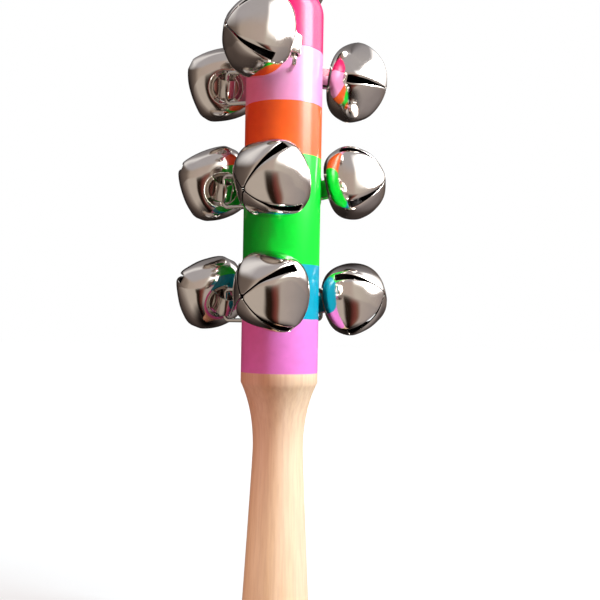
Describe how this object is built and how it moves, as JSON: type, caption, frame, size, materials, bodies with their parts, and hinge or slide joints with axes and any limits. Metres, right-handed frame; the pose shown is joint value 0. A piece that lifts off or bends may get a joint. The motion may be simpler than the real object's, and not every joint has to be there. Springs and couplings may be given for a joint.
{
  "type": "bell rattle",
  "caption": "Stick rattle: a turned wooden stick with coloured bands and jingle bells that swing on wire staples, each with a loose ball inside.",
  "frame": {"origin": "middle of the flat butt end of the handle", "axes": "+Z along the stick, from the handle to the bells; -Y towards the viewer of the picture, +X to its right"},
  "size_m": [0.0573, 0.052, 0.1877],
  "materials": {
    "stick": "turned light hardwood, bare on the handle and gloss painted in coloured bands on the barrel",
    "staple": "bright plated round wire",
    "bell_shell": "pressed steel, polished and nickel plated",
    "bell_loop": "bent steel strip, nickel plated",
    "ball": "plain steel ball"
  },
  "bodies": {
    "stick": {"stick": "stick", "staple_1_front": "staple", "staple_1_right": "staple", "staple_1_left": "staple", "staple_2_front": "staple", "staple_2_right": "staple", "staple_2_left": "staple", "staple_3_front": "staple", "staple_3_right": "staple", "staple_3_left": "staple", "staple_top": "staple"},
    "bell_1_front": {"bell_shell_1_front": "bell_shell", "bell_loop_1_front": "bell_loop"},
    "bell_1_right": {"bell_shell_1_right": "bell_shell", "bell_loop_1_right": "bell_loop"},
    "bell_1_left": {"bell_shell_1_left": "bell_shell", "bell_loop_1_left": "bell_loop"},
    "bell_2_front": {"bell_shell_2_front": "bell_shell", "bell_loop_2_front": "bell_loop"},
    "bell_2_right": {"bell_shell_2_right": "bell_shell", "bell_loop_2_right": "bell_loop"},
    "bell_2_left": {"bell_shell_2_left": "bell_shell", "bell_loop_2_left": "bell_loop"},
    "bell_3_front": {"bell_shell_3_front": "bell_shell", "bell_loop_3_front": "bell_loop"},
    "bell_3_right": {"bell_shell_3_right": "bell_shell", "bell_loop_3_right": "bell_loop"},
    "bell_3_left": {"bell_shell_3_left": "bell_shell", "bell_loop_3_left": "bell_loop"},
    "bell_top": {"bell_shell_top": "bell_shell", "bell_loop_top": "bell_loop"},
    "loose_ball_1_front": {"ball_1_front": "ball"},
    "loose_ball_1_right": {"ball_1_right": "ball"},
    "loose_ball_1_left": {"ball_1_left": "ball"},
    "loose_ball_2_front": {"ball_2_front": "ball"},
    "loose_ball_2_right": {"ball_2_right": "ball"},
    "loose_ball_2_left": {"ball_2_left": "ball"},
    "loose_ball_3_front": {"ball_3_front": "ball"},
    "loose_ball_3_right": {"ball_3_right": "ball"},
    "loose_ball_3_left": {"ball_3_left": "ball"},
    "loose_ball_top": {"ball_top": "ball"}
  },
  "joints": [
    {"name": "swing_1_front", "type": "hinge", "parent": "stick", "child": "bell_1_front", "pos_m": [0.00242, -0.01531, 0.1502], "axis": [0, 0, 1], "range_deg": [-5, 146]},
    {"name": "swing_1_right", "type": "hinge", "parent": "stick", "child": "bell_1_right", "pos_m": [0.00996, 0.01187, 0.1502], "axis": [0, 0, 1], "range_deg": [-14, 132]},
    {"name": "swing_1_left", "type": "hinge", "parent": "stick", "child": "bell_1_left", "pos_m": [-0.01516, 0.00322, 0.1446], "axis": [0, 0, 1], "range_deg": [0, 132]},
    {"name": "swing_2_front", "type": "hinge", "parent": "stick", "child": "bell_2_front", "pos_m": [0.00375, -0.01504, 0.1204], "axis": [0, 0, 1], "range_deg": [0, 130]},
    {"name": "swing_2_right", "type": "hinge", "parent": "stick", "child": "bell_2_right", "pos_m": [0.01017, 0.0117, 0.1192], "axis": [0, 0, 1], "range_deg": [-12, 134]},
    {"name": "swing_2_left", "type": "hinge", "parent": "stick", "child": "bell_2_left", "pos_m": [-0.01538, 0.00189, 0.1171], "axis": [0, 0, 1], "range_deg": [-7, 126]},
    {"name": "swing_3_front", "type": "hinge", "parent": "stick", "child": "bell_3_front", "pos_m": [0.00453, -0.01482, 0.0918], "axis": [0, 0, 1], "range_deg": [-9, 140]},
    {"name": "swing_3_right", "type": "hinge", "parent": "stick", "child": "bell_3_right", "pos_m": [0.01115, 0.01077, 0.0881], "axis": [0, 0, 1], "range_deg": [-4, 144]},
    {"name": "swing_3_left", "type": "hinge", "parent": "stick", "child": "bell_3_left", "pos_m": [-0.01466, 0.00505, 0.0874], "axis": [0, 0, 1], "range_deg": [-30, 100]},
    {"name": "swing_top", "type": "hinge", "parent": "stick", "child": "bell_top", "pos_m": [0, 0, 0.1745], "axis": [0.9511, -0.309, 0], "range_deg": [0, 138]},
    {"name": "rattle_1_front", "type": "slide", "parent": "bell_1_front", "child": "loose_ball_1_front", "axis": [0.1081, 0.0563, 0.9925], "range_m": [0, 0.0122]},
    {"name": "rattle_1_right", "type": "slide", "parent": "bell_1_right", "child": "loose_ball_1_right", "axis": [0.1713, -0.0284, 0.9848], "range_m": [0, 0.0142]},
    {"name": "rattle_1_left", "type": "slide", "parent": "bell_1_left", "child": "loose_ball_1_left", "axis": [0.0593, -0.3699, 0.9272], "range_m": [0, 0.013]},
    {"name": "rattle_2_front", "type": "slide", "parent": "bell_2_front", "child": "loose_ball_2_front", "axis": [-0.3051, -0.2441, 0.9205], "range_m": [0, 0.0122]},
    {"name": "rattle_2_right", "type": "slide", "parent": "bell_2_right", "child": "loose_ball_2_right", "axis": [-0.2019, 0.0495, 0.9781], "range_m": [0, 0.0123]},
    {"name": "rattle_2_left", "type": "slide", "parent": "bell_2_left", "child": "loose_ball_2_left", "axis": [0.1326, -0.3504, 0.9272], "range_m": [0, 0.0135]},
    {"name": "rattle_3_front", "type": "slide", "parent": "bell_3_front", "child": "loose_ball_3_front", "axis": [-0.1291, -0.1162, 0.9848], "range_m": [0, 0.0127]},
    {"name": "rattle_3_right", "type": "slide", "parent": "bell_3_right", "child": "loose_ball_3_right", "axis": [-0.1561, 0.0762, 0.9848], "range_m": [0, 0.0127]},
    {"name": "rattle_3_left", "type": "slide", "parent": "bell_3_left", "child": "loose_ball_3_left", "axis": [0.2227, -0.3404, 0.9135], "range_m": [0, 0.0135]},
    {"name": "rattle_top", "type": "slide", "parent": "bell_top", "child": "loose_ball_top", "axis": [0.9511, -0.309, 0], "range_m": [0, 0.0131]}
  ]
}
